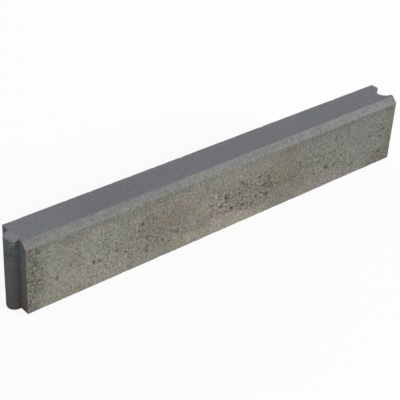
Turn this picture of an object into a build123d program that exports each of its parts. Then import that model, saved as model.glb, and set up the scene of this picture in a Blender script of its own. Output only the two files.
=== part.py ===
from build123d import *
import os

# Concrete edging kerb, cast in one piece, with a tongue at one end and a groove at the other.
# Millimetres, +Z up. The origin is the middle of the bed face, halfway along the laying length.
# +X runs along the kerb from the tongue to the groove, +Y from the chamfered front to the back.

# Driving dimensions
laying_length = 1000.0  # shoulder to shoulder, what one kerb adds to a row
thickness = 80.0  # front face to back face
height = 160.0  # bed face to top face
chamfer_run = 13.0  # the 45 degree chamfer along the front top edge, measured on either face
nose_radius = 17.0  # round nose of the tongue
neck_length = 3.0  # straight sides of the tongue, from the shoulder to the nose
joint_clearance = 2.0  # room all round a tongue that stands in the next kerb's groove
arris_radius = 2.0  # blunted edges all over, as the mould leaves them
neck_share = 0.75  # the most of the neck's length that a blunted edge may take up

# What follows from them: the nose's centre beyond the tongue's shoulder, the groove's centre
# inside the other end, the groove's radius, and an edge radius that the neck has room for
nose_centre = -laying_length / 2 - neck_length
groove_centre = laying_length / 2 - neck_length
groove_radius = nose_radius + joint_clearance
edge_radius = min(arris_radius, neck_share * neck_length)


with BuildPart() as kerb_stone:
    # The bar: one section along the laying length, chamfered on its front top edge only
    with BuildSketch(Plane.YZ) as section:
        Rectangle(thickness, height, align=(Align.CENTER, Align.MIN))
        front_top = section.vertices().group_by(Axis.Y)[-1].sort_by(Axis.X)[0]
        chamfer(front_top, chamfer_run)
    extrude(amount=laying_length / 2, both=True)

    # The tongue: a round nose on a short neck, full height and flush with the top
    with BuildSketch(Plane.XY) as tongue:
        with Locations((nose_centre, 0)):
            Circle(nose_radius)
            Rectangle(neck_length, 2 * nose_radius, align=(Align.MIN, Align.CENTER))
    extrude(amount=height)

    # The groove: the tongue's outline and the clearance round it, cut right through the height
    with BuildSketch(Plane.XY) as groove:
        with Locations((groove_centre, 0)):
            Circle(groove_radius)
            Rectangle(neck_length, 2 * groove_radius, align=(Align.MIN, Align.CENTER))
    extrude(amount=height, mode=Mode.SUBTRACT)

    # The arrises: every edge but the upright lines where a neck runs smoothly into its round
    nose_lines, _, groove_lines, _ = kerb_stone.edges().filter_by(Axis.Z).group_by(Axis.X)
    fillet(kerb_stone.edges() - nose_lines - groove_lines, edge_radius)

kerb_stone.part.label = "kerb_stone"

os.makedirs("parts", exist_ok=True)
export_step(kerb_stone.part, "parts/kerb_stone.step")
print("kerb_stone", kerb_stone.part.bounding_box().size, "volume", round(kerb_stone.part.volume))
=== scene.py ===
# %% [markdown]
# # A concrete kerb stone
# A kerb like this edges a path or a lawn. Stiff, damp concrete is rammed into a steel mould, and
# the block that comes out is one grey bar with a chamfer along one top edge, a round tongue at
# one end and a groove at the other, so that a row of kerbs locks together.
# The lesson starts from the measured model, whose box the finished kerb has to keep to.

# %% Load the frame
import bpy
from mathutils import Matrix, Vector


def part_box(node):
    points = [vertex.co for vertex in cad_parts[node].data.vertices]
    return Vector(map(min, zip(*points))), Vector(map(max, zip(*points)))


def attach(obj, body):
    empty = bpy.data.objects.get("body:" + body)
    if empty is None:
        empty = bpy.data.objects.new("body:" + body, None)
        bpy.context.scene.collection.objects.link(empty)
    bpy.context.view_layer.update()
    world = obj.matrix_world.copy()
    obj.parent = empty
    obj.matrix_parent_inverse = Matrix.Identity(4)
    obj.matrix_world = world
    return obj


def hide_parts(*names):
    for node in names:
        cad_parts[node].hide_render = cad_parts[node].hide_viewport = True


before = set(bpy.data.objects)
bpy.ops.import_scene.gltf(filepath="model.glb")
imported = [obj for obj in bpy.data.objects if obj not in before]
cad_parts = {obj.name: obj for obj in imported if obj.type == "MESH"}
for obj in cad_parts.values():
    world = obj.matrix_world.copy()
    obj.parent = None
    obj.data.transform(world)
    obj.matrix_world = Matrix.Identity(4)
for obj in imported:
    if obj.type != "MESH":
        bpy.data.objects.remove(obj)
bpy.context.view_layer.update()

import math

import bmesh
import bpy
from mathutils import Quaternion, Vector

# %% [markdown]
# ## Sizes
# Blender works in metres, so a size in millimetres is written as a number times MM. The origin is
# in the middle of the bed, so the measured model's highest corner gives half the length, half the
# thickness and the height. The chamfer and the joint repeat the sizes of the real casting: the
# tongue is a round nose on a short neck, and the groove is the same outline with a little room
# all round.

# %% Sizes of the casting
MM = 0.001
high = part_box("kerb_stone")[1]
half_length = high.x
half_thickness = high.y
height = high.z
chamfer_run = 13 * MM
nose_radius = 17 * MM
neck_length = 3 * MM
joint_clearance = 2 * MM
tongue_reach = neck_length + nose_radius
groove_radius = nose_radius + joint_clearance
groove_depth = neck_length + groove_radius
print("bar", round(2 * half_length, 4), round(2 * half_thickness, 4), round(height, 4), "m")

# %% [markdown]
# ## Picking edges and faces by their place
# By hand one clicks on an edge. In a script the same choice is made by place: every edge or face
# is offered to a small test, and the ones that pass are selected. Places can differ in their last
# digits, so two of them count as the same within a hundredth of a millimetre.

# %% Helpers for edit mode
SAME_PLACE = 0.01 * MM


def near(a, b):
    """True if two places on one axis are the same."""
    return abs(a - b) < SAME_PLACE


def select(piece, kind, test):
    """In edit mode, selects the edges or faces of a piece whose corner points pass the test."""
    bpy.ops.mesh.select_mode(type=kind)
    bpy.ops.mesh.select_all(action="DESELECT")
    mesh = bmesh.from_edit_mesh(piece.data)
    elements = mesh.edges if kind == "EDGE" else mesh.faces
    chosen = [element for element in elements if test([corner.co for corner in element.verts])]
    for element in chosen:
        element.select_set(True)
    bmesh.update_edit_mesh(piece.data)
    return len(chosen)


def count(piece):
    """The number of triangles in a piece's mesh."""
    return sum(len(face.vertices) - 2 for face in piece.data.polygons)


# %% [markdown]
# ## The bar
# The plain part of the casting is a box with one long edge cut off at 45 degrees. It could be an
# extruded profile, but a cube set to size and one bevelled edge is quicker and as exact.

# %% Bar with its chamfer
def block(name, low_corner, high_corner):
    """A cube primitive set between two corners, at the origin with its place in its mesh."""
    bpy.ops.object.select_all(action="DESELECT")
    middle = (Vector(low_corner) + Vector(high_corner)) / 2
    bpy.ops.mesh.primitive_cube_add(size=1, location=middle)
    made = bpy.context.object
    made.name = name
    made.scale = Vector(high_corner) - Vector(low_corner)
    bpy.ops.object.transform_apply(location=True, rotation=True, scale=True)
    return made


kerb = block(
    "kerb_casting", (-half_length, -half_thickness, 0), (half_length, half_thickness, height)
)
bpy.ops.object.mode_set(mode="EDIT")
picked = select(
    kerb, "EDGE", lambda points: all(near(p.y, -half_thickness) and near(p.z, height) for p in points)
)
bpy.ops.mesh.bevel(offset=chamfer_run, segments=1)
print("front top edges chamfered", picked)

# %% [markdown]
# ## The tongue
# The tongue runs the full height, flush with the top. Two cuts mark its width on the end face,
# the strip between them is pulled out, and its two outer edges are rounded until they meet in
# one half-round nose, where their points are welded. A separate cylinder would leave a seam to
# close, and this leaves none.

# %% Tongue
ROUND_STEPS = 12
WELD = 0.02 * MM


def round_uprights(piece, x, radius):
    """In edit mode, rounds the two upright edges at that x into one half circle."""
    chosen = select(
        piece,
        "EDGE",
        lambda points: all(near(p.x, x) for p in points) and near(points[0].y, points[1].y),
    )
    bpy.ops.mesh.bevel(offset=radius, segments=ROUND_STEPS, profile=0.5)
    bpy.ops.mesh.select_all(action="SELECT")
    bpy.ops.mesh.remove_doubles(threshold=WELD)
    return chosen


for side in (-nose_radius, nose_radius):
    select(kerb, "FACE", lambda points: all(near(p.x, -half_length) for p in points))
    bpy.ops.mesh.bisect(plane_co=(-half_length, side, 0), plane_no=(0, 1, 0))
strips = select(
    kerb,
    "FACE",
    lambda points: all(near(p.x, -half_length) and abs(p.y) < nose_radius + SAME_PLACE for p in points),
)
bpy.ops.mesh.extrude_region_move(TRANSFORM_OT_translate={"value": (-tongue_reach, 0, 0)})
rounded = round_uprights(kerb, -half_length - tongue_reach, nose_radius)
bpy.ops.mesh.normals_make_consistent(inside=False)
bpy.ops.object.mode_set(mode="OBJECT")
print("tongue strips", strips, "edges rounded", rounded)

# %% [markdown]
# ## The groove
# The groove is open at the top and the bottom. Pushing a strip of the end face in would leave a
# lid over both, so a block of the groove's shape is made instead and cut out with a Boolean. It is
# wider and deeper than the tongue by the clearance, because two rough castings have to slide
# together, and it stands out past the bar, so that no thin skin is left over the opening.

# %% Groove
OVERCUT = 5 * MM

core = block(
    "groove_core",
    (half_length - groove_depth, -groove_radius, -OVERCUT),
    (half_length + OVERCUT, groove_radius, height + OVERCUT),
)
bpy.ops.object.mode_set(mode="EDIT")
rounded = round_uprights(core, half_length - groove_depth, groove_radius)
bpy.ops.mesh.normals_make_consistent(inside=False)
bpy.ops.object.mode_set(mode="OBJECT")

bpy.ops.object.select_all(action="DESELECT")
kerb.select_set(True)
bpy.context.view_layer.objects.active = kerb
cut = kerb.modifiers.new("groove", "BOOLEAN")
cut.operation = "DIFFERENCE"
cut.object = core
bpy.ops.object.modifier_apply(modifier=cut.name)
bpy.data.objects.remove(core)
print("groove edges rounded", rounded, "triangles", count(kerb))

# %% [markdown]
# ## The sharp edges as lines
# A mould leaves the edges of a casting slightly blunt, and they crumble first. To know how far a
# point is from an edge, the sharp edges are kept as a wire of their own. It only measures, and it
# is deleted afterwards. The steps of a round turn a few degrees each and the edges turn 45 or
# more, so an angle of 30 tells them apart.

# %% Wire of the sharp edges
SHARP = math.radians(30)

bpy.ops.object.duplicate()
arris_wire = bpy.context.object
arris_wire.name = "arris_wire"
bpy.ops.object.mode_set(mode="EDIT")
bpy.ops.mesh.select_mode(type="EDGE")
bpy.ops.mesh.select_all(action="DESELECT")
bpy.ops.mesh.edges_select_sharp(sharpness=SHARP)
bpy.ops.mesh.select_all(action="INVERT")
bpy.ops.mesh.delete(type="EDGE")
bpy.ops.object.mode_set(mode="OBJECT")
print("sharp edges", len(arris_wire.data.edges))

# %% [markdown]
# ## An even skin of small faces
# The big flat faces have no points to move yet. A remesh gives the whole casting an even skin of
# small squares. Its sharp mode keeps every edge crisp, which the voxel mode would melt, and
# subdividing would leave the round tongue and the groove uneven. It works on a grid that halves a
# cube again and again, so the size of the squares is set by how large that cube is.

# %% Even skin
SKIN_STEP = 2.45 * MM
GRID_DEPTH = 9

bpy.ops.object.select_all(action="DESELECT")
kerb.select_set(True)
bpy.context.view_layer.objects.active = kerb
skin = kerb.modifiers.new("even_skin", "REMESH")
skin.mode = "SHARP"
skin.octree_depth = GRID_DEPTH
skin.scale = kerb.dimensions.x / (SKIN_STEP * 2**GRID_DEPTH)
bpy.ops.object.modifier_apply(modifier=skin.name)
print("skin triangles", count(kerb))

# %% [markdown]
# ## One function for nodes
# Both the relief and the material are built from nodes. One small function adds a node, sets
# its options and fills its inputs, with a number, a colour, or a link from another node.

# %% Node helper and colours
def add(tree, kind, inputs=None, **options):
    """Adds a node. An input, by name or number, takes a value, a socket or a node's first output."""
    made = tree.nodes.new(kind)
    for name, value in options.items():
        setattr(made, name, value)
    in_use = [socket for socket in made.inputs if socket.enabled]
    for name, value in (inputs or {}).items():
        socket = in_use[name] if isinstance(name, int) else next(s for s in in_use if s.name == name)
        if isinstance(value, bpy.types.Node):
            value = next(s for s in value.outputs if s.enabled)
        if isinstance(value, bpy.types.NodeSocket):
            tree.links.new(value, socket)
        else:
            socket.default_value = value
    return made


def linear(code):
    """A colour written as sRGB hex, such as 8A8478, in the linear values that shaders take."""
    channels = [int(code[i : i + 2], 16) / 255 for i in (0, 2, 4)]
    return [c / 12.92 if c <= 0.04045 else ((c + 0.055) / 1.055) ** 2.4 for c in channels] + [1.0]


# %% [markdown]
# ## Which faces the mould made
# The sides, the ends and the bed dried against steel. The top and the chamfer were pressed by the
# head that rammed the mix, and they came out finer. The border between the two kinds follows the
# lower edge of the chamfer, and it is a little ragged. The two ends, with the tongue and the
# groove, slid along their end plates as the block was drawn out, and they are smoother again.
# Each kind of face could get a material of its own, but then every border would be a clean line.
# Here the kinds are worked out from the place alone, and they fade into each other. A noise has
# its middle at 0.5 and seldom leaves 0.3 to 0.7, so its limits are set with that in mind.

# %% Moulded faces and ends
RAGGED_SIZE = 14 * MM
RAGGED_REACH = 2 * MM
# The border by the chamfer fades from above its lower edge to below it
BORDER_ABOVE = 2 * MM
BORDER_BELOW = 5 * MM
# Elsewhere the mould's faces begin this far below the top
LIP_START = 1 * MM
LIP_END = 4 * MM
END_FADE = 1.5 * MM
WALL_ROOM = 1 * MM


def moulded(tree, place):
    """Nodes that give 1 on the faces that the mould made, little on the chamfer, 0 on the top."""
    ragged = add(tree, "ShaderNodeTexNoise", {"Vector": place, "Scale": 1 / RAGGED_SIZE, "Detail": 3.0})
    ragged = add(
        tree,
        "ShaderNodeMapRange",
        {
            "Value": ragged,
            "From Min": 0.3,
            "From Max": 0.7,
            "To Min": -RAGGED_REACH,
            "To Max": RAGGED_REACH,
        },
    )
    axes = add(tree, "ShaderNodeSeparateXYZ", {0: place})
    slope = add(tree, "ShaderNodeMath", {0: axes.outputs["Z"], 1: axes.outputs["Y"]}, operation="SUBTRACT")
    slope = add(tree, "ShaderNodeMath", {0: slope, 1: ragged}, operation="ADD")
    # All over the chamfer, z minus y has this value
    crease = height - chamfer_run + half_thickness
    below_chamfer = add(
        tree,
        "ShaderNodeMapRange",
        {"Value": slope, "From Min": crease + BORDER_ABOVE, "From Max": crease - BORDER_BELOW},
    )
    below_top = add(
        tree,
        "ShaderNodeMapRange",
        {"Value": axes.outputs["Z"], "From Min": height - LIP_START, "From Max": height - LIP_END},
    )
    return add(tree, "ShaderNodeMath", {0: below_chamfer, 1: below_top}, operation="MULTIPLY")


def ends(tree, place):
    """Nodes that give 1 on the two end faces, the tongue and the groove, and 0 elsewhere."""
    axes = add(tree, "ShaderNodeSeparateXYZ", {0: place})
    x, y = axes.outputs["X"], axes.outputs["Y"]
    from_middle = add(tree, "ShaderNodeMath", {0: x}, operation="ABSOLUTE")
    past = add(
        tree,
        "ShaderNodeMapRange",
        {"Value": from_middle, "From Min": half_length - END_FADE, "From Max": half_length},
    )
    off_line = add(tree, "ShaderNodeMath", {0: y}, operation="ABSOLUTE")
    in_line = add(
        tree, "ShaderNodeMath", {0: off_line, 1: groove_radius + WALL_ROOM}, operation="LESS_THAN"
    )
    groove_floor = half_length - groove_depth - WALL_ROOM
    deep = add(tree, "ShaderNodeMath", {0: x, 1: groove_floor}, operation="GREATER_THAN")
    in_groove = add(tree, "ShaderNodeMath", {0: in_line, 1: deep}, operation="MULTIPLY")
    return add(tree, "ShaderNodeMath", {0: past, 1: in_groove}, operation="MAXIMUM")


# %% [markdown]
# ## Soft patches
# Stains and poor spots have no clean outline either. Each is a soft oval, and a noise moves the
# place where it is looked up to and fro, which frays it. They could be painted by hand, but a few
# numbers for each are easier to change.

# %% Drift and patches
PATCH_CORE = 0.4


def drifted(tree, place, size, reach):
    """Nodes for a place that a noise of that size moves to and fro by up to that reach."""
    noise = add(tree, "ShaderNodeTexNoise", {"Vector": place, "Scale": 1 / size, "Detail": 2.0})
    noise = add(
        tree,
        "ShaderNodeVectorMath",
        {0: noise.outputs["Color"], 1: (0.5, 0.5, 0.5)},
        operation="SUBTRACT",
    )
    return add(
        tree, "ShaderNodeVectorMath", {0: noise, 1: 3 * [2 * reach], 2: place}, operation="MULTIPLY_ADD"
    )


def patch(tree, place, middle, half_size):
    """Nodes for a soft oval patch: 1 in its core and 0 outside. Sizes are in millimetres."""
    offset = add(
        tree, "ShaderNodeVectorMath", {0: place, 1: [v * MM for v in middle]}, operation="SUBTRACT"
    )
    share = add(
        tree, "ShaderNodeVectorMath", {0: offset, 1: [v * MM for v in half_size]}, operation="DIVIDE"
    )
    reach = add(tree, "ShaderNodeVectorMath", {0: share}, operation="LENGTH")
    return add(
        tree,
        "ShaderNodeMapRange",
        {"Value": reach, "From Min": 1.0, "From Max": PATCH_CORE},
        interpolation_type="SMOOTHSTEP",
    )


# %% [markdown]
# ## Pores
# A stiff mix never fills the mould quite, and where it didn't close up it leaves pores a few
# millimetres wide. They crowd together where the ramming was poor: in one large patch right of
# the middle, in a belt on either side of it, down the edge beside the tongue and low beside the
# groove. The top has none, the chamfer and the ends have few, and a strip along each edge is whole.
# A Voronoi pattern scatters one point to a cell, and each point draws a lot for whether it is a
# pore and how wide. The same nodes serve twice, first to push the skin in and then to darken the
# concrete, so the two always agree.

# %% Where the pores are
# Patches with more pores, first on the front and then on the back: middle, half size, and how
# crowded they are
PORE_PATCHES = (
    ((55, -40, 66), (145, 40, 50), 0.85),
    ((-55, -40, 74), (65, 40, 60), 0.28),
    ((-235, -40, 62), (90, 40, 50), 0.35),
    ((-165, -40, 46), (80, 40, 30), 0.45),
    ((-215, -40, 106), (50, 40, 20), 0.4),
    ((-490, -40, 75), (40, 40, 100), 0.8),
    ((-370, -40, 80), (150, 40, 60), 0.2),
    ((265, -40, 58), (140, 40, 44), 0.8),
    ((450, -40, 68), (100, 40, 60), 0.22),
    ((475, -40, 12), (70, 40, 30), 0.5),
    ((-90, 40, 62), (170, 40, 48), 0.6),
    ((330, 40, 85), (130, 40, 55), 0.35),
    ((-480, 40, 70), (45, 40, 100), 0.6),
)
PORE_DRIFT = {"size": 45 * MM, "reach": 35 * MM}
# Between the patches a noise of this size sets the chance, from the least to the most
CHANCE_SIZE = 55 * MM
LEAST_CHANCE = 0.1
MOST_CHANCE = 0.55
# The share of the chance that is left on the ends
CHANCE_ON_ENDS = 0.15


def crowding(tree, place):
    """Nodes for the chance that the mix at that place left a pore: 0 is never, 1 is always."""
    loose = drifted(tree, place, **PORE_DRIFT)
    drift = add(tree, "ShaderNodeTexNoise", {"Vector": place, "Scale": 1 / CHANCE_SIZE, "Detail": 2.0})
    chance = add(
        tree,
        "ShaderNodeMapRange",
        {
            "Value": drift,
            "From Min": 0.42,
            "From Max": 0.72,
            "To Min": LEAST_CHANCE,
            "To Max": MOST_CHANCE,
        },
    )
    for middle, half_size, strength in PORE_PATCHES:
        spot = patch(tree, loose, middle, half_size)
        chance = add(tree, "ShaderNodeMath", {0: spot, 1: strength, 2: chance}, operation="MULTIPLY_ADD")
    chance = add(tree, "ShaderNodeMath", {0: chance, 1: moulded(tree, place)}, operation="MULTIPLY")
    side = add(
        tree,
        "ShaderNodeMapRange",
        {"Value": ends(tree, place), "To Min": 1.0, "To Max": CHANCE_ON_ENDS},
    )
    return add(tree, "ShaderNodeMath", {0: chance, 1: side}, operation="MULTIPLY")


print("pore patches", len(PORE_PATCHES))

# %% Shape of the pores
WIDE_PORES = {"spacing": 19 * MM, "radius": 5.4 * MM}
SMALL_PORES = {"spacing": 9 * MM, "radius": 2.6 * MM}
# In shares of the radius: the narrowest pore, how much wider the widest is, and the fraying of
# their outlines
NARROWEST = 0.6
WIDENING = 0.8
FRAY_SIZE = 1.1
FRAY_REACH = 0.85
# The strip along an edge that is whole, and where it ends
WHOLE_STRIP = 2 * MM
WHOLE_STRIP_END = 6 * MM


def pores(tree, place, edge_gap, spacing, radius):
    """Nodes for pores of one size: 0 on the face and 1 at the bottom of a pore."""
    frayed = drifted(tree, place, FRAY_SIZE * radius, FRAY_REACH * radius)
    cells = add(tree, "ShaderNodeTexVoronoi", {"Vector": frayed, "Scale": 1 / spacing})
    lots = add(tree, "ShaderNodeSeparateXYZ", {0: cells.outputs["Color"]})
    chance = crowding(tree, cells.outputs["Position"])
    open_cell = add(tree, "ShaderNodeMath", {0: lots.outputs[0], 1: chance}, operation="LESS_THAN")
    width = add(
        tree,
        "ShaderNodeMath",
        {0: lots.outputs[1], 1: WIDENING * radius / spacing, 2: NARROWEST * radius / spacing},
        operation="MULTIPLY_ADD",
    )
    depth = add(
        tree,
        "ShaderNodeMapRange",
        {"Value": cells.outputs["Distance"], "From Min": width, "From Max": 0.0},
        interpolation_type="SMOOTHSTEP",
    )
    depth = add(tree, "ShaderNodeMath", {0: depth, 1: open_cell}, operation="MULTIPLY")
    depth = add(tree, "ShaderNodeMath", {0: depth, 1: moulded(tree, place)}, operation="MULTIPLY")
    off_edge = add(
        tree,
        "ShaderNodeMapRange",
        {"Value": edge_gap, "From Min": WHOLE_STRIP, "From Max": WHOLE_STRIP_END},
    )
    return add(tree, "ShaderNodeMath", {0: depth, 1: off_edge}, operation="MULTIPLY")


for pore in (WIDE_PORES, SMALL_PORES):
    print("pores about", round(2 * pore["radius"] / MM, 1), "mm wide")

# %% [markdown]
# ## The relief
# The skin is pushed in along its normals, never out, so that the kerb keeps to its box. A Displace
# modifier reads one texture at a time, so the several causes are added up in Geometry Nodes.
# Before it moves, each point stores its place and its distance from the nearest edge. The
# material reads both, so its patterns stay where they are when the skin moves.

# %% Place and distance from an edge
relief = bpy.data.node_groups.new("casting_relief", "GeometryNodeTree")
relief.interface.new_socket("Geometry", in_out="INPUT", socket_type="NodeSocketGeometry")
relief.interface.new_socket("Geometry", in_out="OUTPUT", socket_type="NodeSocketGeometry")
smooth_skin = add(relief, "NodeGroupInput")
place = add(relief, "GeometryNodeInputPosition")
wire = add(relief, "GeometryNodeObjectInfo", {"Object": arris_wire}).outputs["Geometry"]
edge_gap = add(relief, "GeometryNodeProximity", {0: wire}, target_element="EDGES").outputs["Distance"]
with_place = add(
    relief,
    "GeometryNodeStoreNamedAttribute",
    {"Geometry": smooth_skin, "Name": "cast_place", "Value": place},
    data_type="FLOAT_VECTOR",
)
with_gap = add(
    relief,
    "GeometryNodeStoreNamedAttribute",
    {"Geometry": with_place, "Name": "edge_gap", "Value": edge_gap},
    data_type="FLOAT",
)
print("relief nodes", len(relief.nodes))

# %% [markdown]
# ## Waves, sand and blunt edges
# A worn mould leaves slight waves, and the coarse sand a fine unevenness, less of it on the ends.
# The edges are blunt everywhere and here and there crumbled. Each cause is a share from 0 to 1.

# %% Causes of the relief
WAVE_SIZE = 110 * MM
SAND_SIZE = 7 * MM
SAND_ON_ENDS = 0.5
BLUNT_REACH = 3.0 * MM
CRUMBLE_SIZE = 16 * MM
CRUMBLE_REACH = 5.0 * MM

waves = add(relief, "ShaderNodeTexNoise", {"Vector": place, "Scale": 1 / WAVE_SIZE, "Detail": 1.0})
sand = add(relief, "ShaderNodeTexNoise", {"Vector": place, "Scale": 1 / SAND_SIZE, "Detail": 1.0})
slid = add(
    relief,
    "ShaderNodeMapRange",
    {"Value": ends(relief, place), "To Min": 1.0, "To Max": SAND_ON_ENDS},
)
sand = add(relief, "ShaderNodeMath", {0: sand, 1: slid}, operation="MULTIPLY")
blunt = add(relief, "ShaderNodeMapRange", {"Value": edge_gap, "From Min": BLUNT_REACH, "From Max": 0.0})
crumble = add(relief, "ShaderNodeTexNoise", {"Vector": place, "Scale": 1 / CRUMBLE_SIZE, "Detail": 2.0})
crumble = add(relief, "ShaderNodeMapRange", {"Value": crumble, "From Min": 0.55, "From Max": 0.8})
at_edge = add(
    relief,
    "ShaderNodeMapRange",
    {"Value": edge_gap, "From Min": CRUMBLE_REACH, "From Max": 0.0},
    interpolation_type="SMOOTHSTEP",
)
crumble = add(relief, "ShaderNodeMath", {0: crumble, 1: at_edge}, operation="MULTIPLY")
print("relief nodes", len(relief.nodes))

# %% [markdown]
# ## The push
# Each share is worth a depth, and the pores go deepest. Shading by angle then smooths the
# small faces and leaves the square edges crisp, which plain smooth shading would blur.

# %% Push the skin in
WAVE_DEPTH = 0.5 * MM
SAND_DEPTH = 0.5 * MM
BLUNT_DEPTH = 0.8 * MM
CRUMBLE_DEPTH = 1.0 * MM
WIDE_PORE_DEPTH = 2.8 * MM
SMALL_PORE_DEPTH = 1.6 * MM
CRISP = math.radians(50)

inward = add(relief, "ShaderNodeMath", {0: waves, 1: WAVE_DEPTH}, operation="MULTIPLY")
for amount, depth in (
    (sand, SAND_DEPTH),
    (blunt, BLUNT_DEPTH),
    (crumble, CRUMBLE_DEPTH),
    (pores(relief, place, edge_gap, **WIDE_PORES), WIDE_PORE_DEPTH),
    (pores(relief, place, edge_gap, **SMALL_PORES), SMALL_PORE_DEPTH),
):
    inward = add(relief, "ShaderNodeMath", {0: amount, 1: depth, 2: inward}, operation="MULTIPLY_ADD")
outward = add(relief, "ShaderNodeMath", {0: inward, 1: -1.0}, operation="MULTIPLY")
normal = add(relief, "GeometryNodeInputNormal")
push = add(relief, "ShaderNodeVectorMath", {0: normal, "Scale": outward}, operation="SCALE")
pushed = add(relief, "GeometryNodeSetPosition", {"Geometry": with_gap, "Offset": push})
add(relief, "NodeGroupOutput", {"Geometry": pushed})

cast = kerb.modifiers.new("casting_relief", "NODES")
cast.node_group = relief
bpy.ops.object.modifier_apply(modifier=cast.name)
bpy.data.objects.remove(arris_wire)
bpy.ops.object.shade_smooth_by_angle(angle=CRISP)
corners = (kerb.bound_box[0], kerb.bound_box[6])
print("relief done, box", [[round(v, 4) for v in corner] for corner in corners])

# %% [markdown]
# ## Concrete
# Rammed concrete is sand and fine stone in grey cement. Against the mould it dries to a matt,
# blotchy skin: olive grey at the tongue end, tan in the middle, cooler at the groove end, with a
# pale smooth strip low in the middle where the paste ran together. Where the press head squeezed
# it, the cement paste comes up finer and bluer.
# A single noise would give the same blotches all over. Here each tone is one colour, laid over the
# last one by a soft patch, so the kerb has its own stains; one dark patch at the groove end is painted
# shade.

# %% Colours
OLIVE_GREY = linear("8B8A83")
COOL_GREY = linear("7B7B76")
TAN_GREY = linear("88827A")
DEEP_TAN = linear("7E786D")
PALE_TAN = linear("9A948A")
BAND_GREY = linear("7E7D77")
STAIN_OLIVE = linear("8C8975")
ROSY_GREY = linear("958F88")
# Dark brown, also used for painted shade on the rounded edge at the groove end
DARK_BROWN_AND_EDGE_SHADE = linear("6F6B64")
END_GREY = linear("7F8286")
# Brownish at the foot of the ends, and darker there as painted shade
END_FOOT_BROWN_AND_SHADE = linear("7B7675")
# Painted shade inside the groove
GROOVE_PAINTED_SHADE = linear("5C5853")
CHAMFER_GREY = linear("7D7E7F")
CHAMFER_PALE = linear("848587")
TOP_GREY = linear("717278")
TOP_BACK_GREY = linear("75767A")
# Painted light: the top is paler by the tongue
TOP_PAINTED_LIGHT = linear("78797E")
PORE_BROWN = linear("483F33")
print("tan grey in linear values", [round(c, 3) for c in TAN_GREY])

# %% Tones of the front and the back
# Patches with a tone of their own, first on the front and then on the back: colour, middle, half
# size and strength
TONE_PATCHES = (
    (TAN_GREY, (-70, -40, 75), (290, 60, 110), 0.9),
    (DEEP_TAN, (-172, -40, 90), (88, 60, 45), 0.7),
    (DEEP_TAN, (150, -40, 88), (90, 60, 66), 0.75),
    (OLIVE_GREY, (285, -40, 58), (130, 60, 42), 0.5),
    (PALE_TAN, (-50, -40, 74), (70, 60, 30), 0.45),
    (OLIVE_GREY, (-35, -40, 138), (130, 60, 34), 0.65),
    (BAND_GREY, (-330, -40, 138), (240, 60, 16), 0.7),
    (ROSY_GREY, (-380, -40, 30), (150, 60, 55), 0.8),
    (ROSY_GREY, (270, -40, 4), (180, 60, 40), 0.45),
    (PALE_TAN, (-10, -40, 4), (170, 60, 44), 1.0),
    (STAIN_OLIVE, (-410, -40, 4), (45, 60, 20), 0.5),
    (STAIN_OLIVE, (-145, -40, 8), (40, 60, 18), 0.5),
    (DEEP_TAN, (160, -40, 16), (90, 60, 30), 0.5),
    (STAIN_OLIVE, (215, -40, 8), (50, 60, 18), 0.4),
    (DARK_BROWN_AND_EDGE_SHADE, (-505, -40, 75), (54, 60, 130), 0.6),
    (DARK_BROWN_AND_EDGE_SHADE, (490, -40, 4), (110, 60, 42), 0.7),
    # Painted shade: the front darkens at the groove end, where its rounded edge turns from the light
    (DARK_BROWN_AND_EDGE_SHADE, (515, -40, 75), (48, 60, 130), 0.8),
    (TAN_GREY, (110, 40, 80), (300, 60, 110), 0.8),
    (DEEP_TAN, (200, 40, 105), (130, 60, 40), 0.6),
    (PALE_TAN, (-150, 40, 6), (230, 60, 40), 0.7),
    (ROSY_GREY, (380, 40, 20), (140, 60, 50), 0.6),
)
TONE_DRIFT = {"size": 50 * MM, "reach": 40 * MM}
# Under the patches the tone turns from olive to cool within this distance of the middle
TURN_REACH = 250 * MM

concrete = bpy.data.materials.new("rammed_concrete")
concrete.use_nodes = True
shade = concrete.node_tree
surface = shade.nodes["Principled BSDF"]
place = add(shade, "ShaderNodeAttribute", attribute_name="cast_place").outputs["Vector"]
edge_gap = add(shade, "ShaderNodeAttribute", attribute_name="edge_gap").outputs["Fac"]
axes = add(shade, "ShaderNodeSeparateXYZ", {0: place})
loose = drifted(shade, place, **TONE_DRIFT)
loose_axes = add(shade, "ShaderNodeSeparateXYZ", {0: loose})
along = add(
    shade,
    "ShaderNodeMapRange",
    {"Value": loose_axes.outputs["X"], "From Min": -TURN_REACH, "From Max": TURN_REACH},
)
colour = add(shade, "ShaderNodeMix", {"Factor": along, "A": OLIVE_GREY, "B": COOL_GREY}, data_type="RGBA")
for tone, middle, half_size, strength in TONE_PATCHES:
    spot = patch(shade, loose, middle, half_size)
    spot = add(shade, "ShaderNodeMath", {0: spot, 1: strength}, operation="MULTIPLY")
    colour = add(shade, "ShaderNodeMix", {"Factor": spot, "A": colour, "B": tone}, data_type="RGBA")
print("tone patches", len(TONE_PATCHES))

# %% [markdown]
# ## Ends
# The ends are a plain grey, bluish at the top and brownish towards the foot, darker there as
# painted shade. The inside of the groove is a darker brown, which is painted shade in that recess.

# %% Tone of the ends
END_FOOT = 40 * MM
END_HEAD = 130 * MM
# Middle and half size, in millimetres, of the painted shade inside the groove
GROOVE_SHADE_PATCH = ((486, 0, 80), (26, 32, 600))

on_end = ends(shade, place)
up_end = add(
    shade,
    "ShaderNodeMapRange",
    {"Value": axes.outputs["Z"], "From Min": END_FOOT, "From Max": END_HEAD},
)
# Painted shade: the end tone darkens towards the foot, besides turning brownish
end_tone = add(shade, "ShaderNodeMix", {"Factor": up_end, "A": END_FOOT_BROWN_AND_SHADE, "B": END_GREY}, data_type="RGBA")
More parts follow.
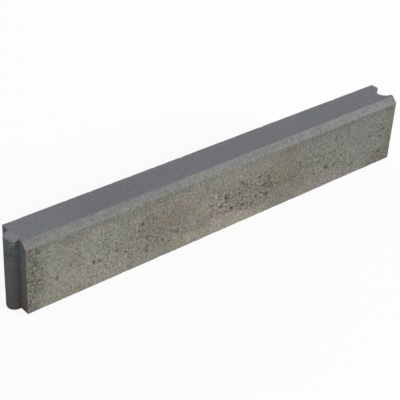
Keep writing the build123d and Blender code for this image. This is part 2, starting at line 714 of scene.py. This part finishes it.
# Painted shade: the inside of the groove is darkened
in_groove = patch(shade, place, *GROOVE_SHADE_PATCH)
end_tone = add(
    shade, "ShaderNodeMix", {"Factor": in_groove, "A": end_tone, "B": GROOVE_PAINTED_SHADE}, data_type="RGBA"
)
colour = add(shade, "ShaderNodeMix", {"Factor": on_end, "A": colour, "B": end_tone}, data_type="RGBA")
print("nodes so far", len(shade.nodes))

# %% [markdown]
# ## Top and chamfer
# The pressed top is bluish, and a little paler along the back edge. By the tongue it is paler too,
# which is painted light. The chamfer is a plain grey that pales towards the groove end.

# %% Tone of the pressed faces
BACK_STRIP_START = 18 * MM
# Middle and half size, in millimetres, of the painted light by the tongue
PAINTED_LIGHT_BY_TONGUE = ((-500, 0, 160), (190, 120, 60))
# How far below the top's height the chamfer's tone begins, and where the top's tone is full
TOP_START = 2 * MM
TOP_FULL = 0.3 * MM
CHAMFER_TURN = (-100 * MM, 350 * MM)

to_back = add(
    shade,
    "ShaderNodeMapRange",
    {"Value": axes.outputs["Y"], "From Min": BACK_STRIP_START, "From Max": half_thickness},
)
pressed = add(
    shade, "ShaderNodeMix", {"Factor": to_back, "A": TOP_GREY, "B": TOP_BACK_GREY}, data_type="RGBA"
)
# Painted light: the top is lightened by the tongue
painted_light_by_tongue = patch(shade, loose, *PAINTED_LIGHT_BY_TONGUE)
pressed = add(shade, "ShaderNodeMix", {"Factor": painted_light_by_tongue, "A": pressed, "B": TOP_PAINTED_LIGHT}, data_type="RGBA")
on_top = add(
    shade,
    "ShaderNodeMapRange",
    {"Value": axes.outputs["Z"], "From Min": height - TOP_START, "From Max": height - TOP_FULL},
)
to_groove = add(
    shade,
    "ShaderNodeMapRange",
    {"Value": axes.outputs["X"], "From Min": CHAMFER_TURN[0], "From Max": CHAMFER_TURN[1]},
)
slanted = add(
    shade, "ShaderNodeMix", {"Factor": to_groove, "A": CHAMFER_GREY, "B": CHAMFER_PALE}, data_type="RGBA"
)
pressed = add(shade, "ShaderNodeMix", {"Factor": on_top, "A": slanted, "B": pressed}, data_type="RGBA")
mould_face = moulded(shade, place)
colour = add(shade, "ShaderNodeMix", {"Factor": mould_face, "A": pressed, "B": colour}, data_type="RGBA")
print("nodes so far", len(shade.nodes))

# %% [markdown]
# ## Blotches of hue
# The tone also wanders between a greenish and a rosy grey in blotches two or three centimetres
# wide, from the sand and from damp. A noise picks between two very pale tints, which multiply
# the tone, a little less on the pressed faces.

# %% Hue
GREEN_TINT = linear("FAFFF7")
ROSY_TINT = linear("FFFAF9")
HUE_SIZE = 26 * MM
HUE_ON_PRESSED = 0.8

hue = add(shade, "ShaderNodeTexNoise", {"Vector": place, "Scale": 1 / HUE_SIZE, "Detail": 2.0})
hue = add(shade, "ShaderNodeMapRange", {"Value": hue, "From Min": 0.35, "From Max": 0.65})
hue = add(shade, "ShaderNodeMix", {"Factor": hue, "A": GREEN_TINT, "B": ROSY_TINT}, data_type="RGBA")
hue_share = add(
    shade, "ShaderNodeMapRange", {"Value": mould_face, "To Min": HUE_ON_PRESSED, "To Max": 1.0}
)
colour = add(
    shade,
    "ShaderNodeMix",
    {"Factor": hue_share, "A": colour, "B": hue},
    data_type="RGBA",
    blend_type="MULTIPLY",
)
print("nodes so far", len(shade.nodes))

# %% [markdown]
# ## Grain
# Close up the face is a grain of sand and fine stone, with upright streaks where the block was
# drawn out of the mould, and level bands just below the press head, where the last of the mix
# went in. The bands are strongest on the ends, and there they reach further down. Real sand is
# finer than a pixel of the picture, so the finest grain is drawn 4 to 5 mm wide.
# Each is a noise round zero, and they are added up.

# %% Grain
# Size in millimetres along x, y and z, and how strongly it shades the tone
GRAIN = (
    ((60, 60, 60), 0.16),
    ((24, 24, 24), 0.23),
    ((10, 10, 10), 0.42),
    ((5, 5, 5), 1.2),
    ((4, 4, 45), 0.35),
)
LEVEL_BANDS = ((240, 240, 7), 0.5)
BANDS_ON_ENDS = 7.5
# The height where the bands begin, on the sides and on the ends, and where they are full
BANDS_FOOT = 105 * MM
BANDS_FOOT_ON_ENDS = 70 * MM
BANDS_FULL = 140 * MM


def grain(size, strength):
    """Nodes for a noise of that size, from minus half the strength to plus half of it."""
    stretched = add(
        shade, "ShaderNodeVectorMath", {0: place, 1: [1 / (v * MM) for v in size]}, operation="MULTIPLY"
    )
    noise = add(shade, "ShaderNodeTexNoise", {"Vector": stretched, "Scale": 1.0, "Detail": 2.0})
    noise = add(shade, "ShaderNodeMath", {0: noise, 1: 0.5}, operation="SUBTRACT")
    return add(shade, "ShaderNodeMath", {0: noise, 1: strength}, operation="MULTIPLY")


bands_foot = add(
    shade,
    "ShaderNodeMapRange",
    {"Value": on_end, "To Min": BANDS_FOOT, "To Max": BANDS_FOOT_ON_ENDS},
)
press_reach = add(
    shade,
    "ShaderNodeMapRange",
    {"Value": axes.outputs["Z"], "From Min": bands_foot, "From Max": BANDS_FULL},
    interpolation_type="SMOOTHSTEP",
)
bands = add(shade, "ShaderNodeMapRange", {"Value": on_end, "To Min": 1.0, "To Max": BANDS_ON_ENDS})
bands = add(shade, "ShaderNodeMath", {0: bands, 1: press_reach}, operation="MULTIPLY")
speckle = add(shade, "ShaderNodeMath", {0: grain(*LEVEL_BANDS), 1: bands}, operation="MULTIPLY")
for size, strength in GRAIN:
    speckle = add(shade, "ShaderNodeMath", {0: grain(size, strength), 1: speckle}, operation="ADD")
print("grain sizes", len(GRAIN) + 1)

# %% [markdown]
# ## Light and dark
# The grain shades the tone most where the pores crowd, and least on the top. A darker band lies
# under the chamfer, where the edge of the press head dragged, and hardly shows on the ends. Blunt
# edges are rubbed a little paler. All of this is one number, which multiplies the tone.

# %% Shading of the tone
GRAIN_ON_TOP = 0.4
GRAIN_ON_CHAMFER = 0.45
GRAIN_ON_ENDS = 0.5
GRAIN_IN_CROWDS = 1.45
DRAG_FOOT = 118 * MM
DRAG_FULL = 142 * MM
DRAG_SHADE = 0.13
DRAG_ON_ENDS = 0.1
RUBBED_REACH = 4 * MM
RUBBED_LIGHT = 1.08

pressed_grain = add(
    shade, "ShaderNodeMapRange", {"Value": on_top, "To Min": GRAIN_ON_CHAMFER, "To Max": GRAIN_ON_TOP}
)
crowd = crowding(shade, place)
poor = add(shade, "ShaderNodeMapRange", {"Value": crowd, "To Min": 1.0, "To Max": GRAIN_IN_CROWDS})
mould_grain = add(shade, "ShaderNodeMapRange", {"Value": on_end, "To Min": poor, "To Max": GRAIN_ON_ENDS})
roughcast = add(
    shade,
    "ShaderNodeMapRange",
    {"Value": mould_face, "To Min": pressed_grain, "To Max": mould_grain},
)
light = add(shade, "ShaderNodeMath", {0: speckle, 1: roughcast, 2: 1.0}, operation="MULTIPLY_ADD")
drag = add(
    shade,
    "ShaderNodeMapRange",
    {"Value": axes.outputs["Z"], "From Min": DRAG_FOOT, "From Max": DRAG_FULL, "To Max": DRAG_SHADE},
    interpolation_type="SMOOTHSTEP",
)
drag = add(shade, "ShaderNodeMath", {0: drag, 1: mould_face}, operation="MULTIPLY")
on_sides = add(shade, "ShaderNodeMapRange", {"Value": on_end, "To Min": 1.0, "To Max": DRAG_ON_ENDS})
drag = add(shade, "ShaderNodeMath", {0: drag, 1: on_sides}, operation="MULTIPLY")
light = add(shade, "ShaderNodeMath", {0: light, 1: drag}, operation="SUBTRACT")
rubbed = add(
    shade,
    "ShaderNodeMapRange",
    {
        "Value": edge_gap,
        "From Min": RUBBED_REACH,
        "From Max": 0.0,
        "To Min": 1.0,
        "To Max": RUBBED_LIGHT,
    },
)
light = add(shade, "ShaderNodeMath", {0: light, 1: rubbed}, operation="MULTIPLY")
colour = add(
    shade,
    "ShaderNodeMix",
    {"Factor": 1.0, "A": colour, "B": light},
    data_type="RGBA",
    blend_type="MULTIPLY",
)
print("nodes so far", len(shade.nodes))

# %% [markdown]
# ## Dark pores
# A pore is dark because little light gets in, and brown from the fines that settle there. A lone
# pore is less dark than one in a crowd. Besides the pores that the skin has as real dents, there
# are countless gaps between the grains that are too small for it. They are the low spots of a fine
# noise, and there are more of them where the pores crowd.

# %% Pores in the tone
LONE_PORE_SHADE = 0.45
CROWDED_PORE_SHADE = 0.9
# A pore counts as lone where the chance of one is no more than this
LONE_CHANCE = 0.35
GAP_SIZE = 5.5 * MM
LONE_GAP_SHADE = 0.42
CROWDED_GAP_SHADE = 0.75
# A gap starts where the noise falls below its limit, and it is full this much lower
LONE_GAP_LIMIT = 0.34
CROWDED_GAP_LIMIT = 0.47
GAP_FADE = 0.12

dents = add(
    shade,
    "ShaderNodeMath",
    {0: pores(shade, place, edge_gap, **WIDE_PORES), 1: pores(shade, place, edge_gap, **SMALL_PORES)},
    operation="MAXIMUM",
)
hollow = add(shade, "ShaderNodeMapRange", {"Value": dents, "From Min": 0.05, "From Max": 0.8})
pore_shade = add(
    shade,
    "ShaderNodeMapRange",
    {
        "Value": crowd,
        "From Min": LONE_CHANCE,
        "To Min": LONE_PORE_SHADE,
        "To Max": CROWDED_PORE_SHADE,
    },
)
dark = add(shade, "ShaderNodeMath", {0: hollow, 1: pore_shade}, operation="MULTIPLY")

limit = add(
    shade,
    "ShaderNodeMapRange",
    {"Value": crowd, "To Min": LONE_GAP_LIMIT, "To Max": CROWDED_GAP_LIMIT},
)
full = add(shade, "ShaderNodeMath", {0: limit, 1: GAP_FADE}, operation="SUBTRACT")
gaps = add(shade, "ShaderNodeTexNoise", {"Vector": place, "Scale": 1 / GAP_SIZE, "Detail": 2.0})
gaps = add(shade, "ShaderNodeMapRange", {"Value": gaps, "From Min": limit, "From Max": full})
gap_shade = add(
    shade,
    "ShaderNodeMapRange",
    {"Value": crowd, "To Min": LONE_GAP_SHADE, "To Max": CROWDED_GAP_SHADE},
)
gap_shade = add(shade, "ShaderNodeMath", {0: gaps, 1: gap_shade}, operation="MULTIPLY")
dark = add(shade, "ShaderNodeMath", {0: dark, 1: gap_shade}, operation="MAXIMUM")
colour = add(shade, "ShaderNodeMix", {"Factor": dark, "A": colour, "B": PORE_BROWN}, data_type="RGBA")
shade.links.new(colour.outputs[2], surface.inputs["Base Color"])
print("nodes so far", len(shade.nodes))

# %% [markdown]
# ## Matt and rough
# Dry concrete has almost no gloss. The pressed faces are a little smoother than the rest. The same
# grain and pores that shade the tone also tilt the light as a fine bump.

# %% Roughness and bump
PRESSED_ROUGHNESS = 0.82
MOULD_ROUGHNESS = 0.93
BUMP_STRENGTH = 0.6
BUMP_DEPTH = 0.6 * MM

matt = add(
    shade,
    "ShaderNodeMapRange",
    {"Value": mould_face, "To Min": PRESSED_ROUGHNESS, "To Max": MOULD_ROUGHNESS},
)
shade.links.new(matt.outputs[0], surface.inputs["Roughness"])
surface.inputs["Specular IOR Level"].default_value = 0.15

dug = add(shade, "ShaderNodeMath", {0: dents, 1: gaps}, operation="ADD")
rough = add(shade, "ShaderNodeMath", {0: speckle, 1: dug}, operation="SUBTRACT")
bump = add(
    shade, "ShaderNodeBump", {"Strength": BUMP_STRENGTH, "Distance": BUMP_DEPTH, "Height": rough}
)
shade.links.new(bump.outputs[0], surface.inputs["Normal"])
kerb.data.materials.clear()
kerb.data.materials.append(concrete)
print("material", concrete.name, "nodes", len(shade.nodes))

# %% [markdown]
# ## The kerb takes the node's place
# The detailed casting stands for the measured node and belongs to the one body that there is.

# %% Kerb joins the frame
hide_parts("kerb_stone")
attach(kerb, "root")
print(kerb.name, "triangles", count(kerb))

# %% [markdown]
# ## Floor and sky
# The floor looks white to the camera but bounces light like a mid grey, so the ends of the kerb
# stay in shade. It is painted with a little plain white in its glow, so that it keeps the kerb's
# shadow. The sky looks white too, and lights the kerb as an even, slightly blue haze.

# %% Floor and sky
WHITE = linear("FFFFFF")
FLOOR_GREY = linear("AAAAAA")
FLOOR_PALE = linear("F9F9F9")
FLOOR_GLOW = 0.9
FLOOR_SIZE = 40
SKY_HAZE = linear("F9FBFF")
SKY_STRENGTH = 0.431


def seen_white(tree, lit, white):
    """Nodes that show one shader to the light and another to the camera, mirrors and glass."""
    rays = add(tree, "ShaderNodeLightPath")
    seen = add(
        tree,
        "ShaderNodeMath",
        {0: rays.outputs["Is Camera Ray"], 1: rays.outputs["Is Glossy Ray"]},
        operation="MAXIMUM",
    )
    seen = add(
        tree, "ShaderNodeMath", {0: seen, 1: rays.outputs["Is Transmission Ray"]}, operation="MAXIMUM"
    )
    return add(tree, "ShaderNodeMixShader", {0: seen, 1: lit, 2: white})


bpy.ops.object.select_all(action="DESELECT")
bpy.ops.mesh.primitive_plane_add(size=FLOOR_SIZE, location=(0, 0, 0))
floor = bpy.context.object
floor.name = "floor"
floor_paint = bpy.data.materials.new("pale_floor")
floor_paint.use_nodes = True
tree = floor_paint.node_tree
tree.nodes.clear()
lit = add(tree, "ShaderNodeBsdfDiffuse", {"Color": FLOOR_GREY})
shaded = add(tree, "ShaderNodeBsdfDiffuse", {"Color": FLOOR_PALE})
white = add(tree, "ShaderNodeEmission", {"Color": WHITE, "Strength": 1.0})
white = add(tree, "ShaderNodeMixShader", {0: FLOOR_GLOW, 1: shaded, 2: white})
add(tree, "ShaderNodeOutputMaterial", {"Surface": seen_white(tree, lit, white)})
floor.data.materials.append(floor_paint)

world = bpy.data.worlds.new("pale_sky")
bpy.context.scene.world = world
world.use_nodes = True
tree = world.node_tree
tree.nodes.clear()
lit = add(tree, "ShaderNodeBackground", {"Color": SKY_HAZE, "Strength": SKY_STRENGTH})
white = add(tree, "ShaderNodeBackground", {"Color": WHITE, "Strength": 1.0})
add(tree, "ShaderNodeOutputWorld", {"Surface": seen_white(tree, lit, white)})
print("floor", FLOOR_SIZE, "m wide, sky", world.name)

# %% [markdown]
# ## Lamps
# One large soft lamp stands in front and to the right, about a third of the way up. A weaker one
# stands low behind and keeps the back from going dark.

# %% Lamps
def towards(azimuth, elevation):
    """A unit vector from the kerb: azimuth 0 is its front and turns to its right, in degrees."""
    a, e = math.radians(azimuth), math.radians(elevation)
    return Vector((math.sin(a) * math.cos(e), -math.cos(a) * math.cos(e), math.sin(e)))


LAMP_DISTANCE = 8
for name, azimuth, elevation, size, power in (
    ("front_lamp", 36, 25.5, 2.5, 540),
    ("back_lamp", 150, 10, 2.5, 340),
):
    side = towards(azimuth, elevation)
    bpy.ops.object.light_add(type="AREA", location=side * LAMP_DISTANCE)
    lamp = bpy.context.object
    lamp.name = name
    lamp.rotation_euler = side.to_track_quat("Z", "Y").to_euler()
    lamp.data.size = size
    lamp.data.energy = power
    print(name, "at", [round(v, 2) for v in lamp.location])

# %% [markdown]
# ## Camera
# The camera looks down on the front from the left, through a long lens, tilted slightly as a
# hand-held one is. The picture is square.

# %% Camera
aim = Vector((-0.052, 0, 0.066))
camera_side = towards(azimuth=-41.94, elevation=32.74)
camera_distance = 2.309
camera_roll = math.radians(3.55)
bpy.ops.object.camera_add(location=aim + camera_side * camera_distance)
camera = bpy.context.object
camera.name = "camera"
camera.rotation_mode = "QUATERNION"
level = (-camera_side).to_track_quat("-Z", "Y")
camera.rotation_quaternion = level @ Quaternion((0, 0, 1), camera_roll)
camera.data.lens = 99.92
camera.data.sensor_width = 36
bpy.context.scene.camera = camera
bpy.context.scene.view_settings.view_transform = "Standard"
print("camera at", [round(v, 3) for v in camera.location])
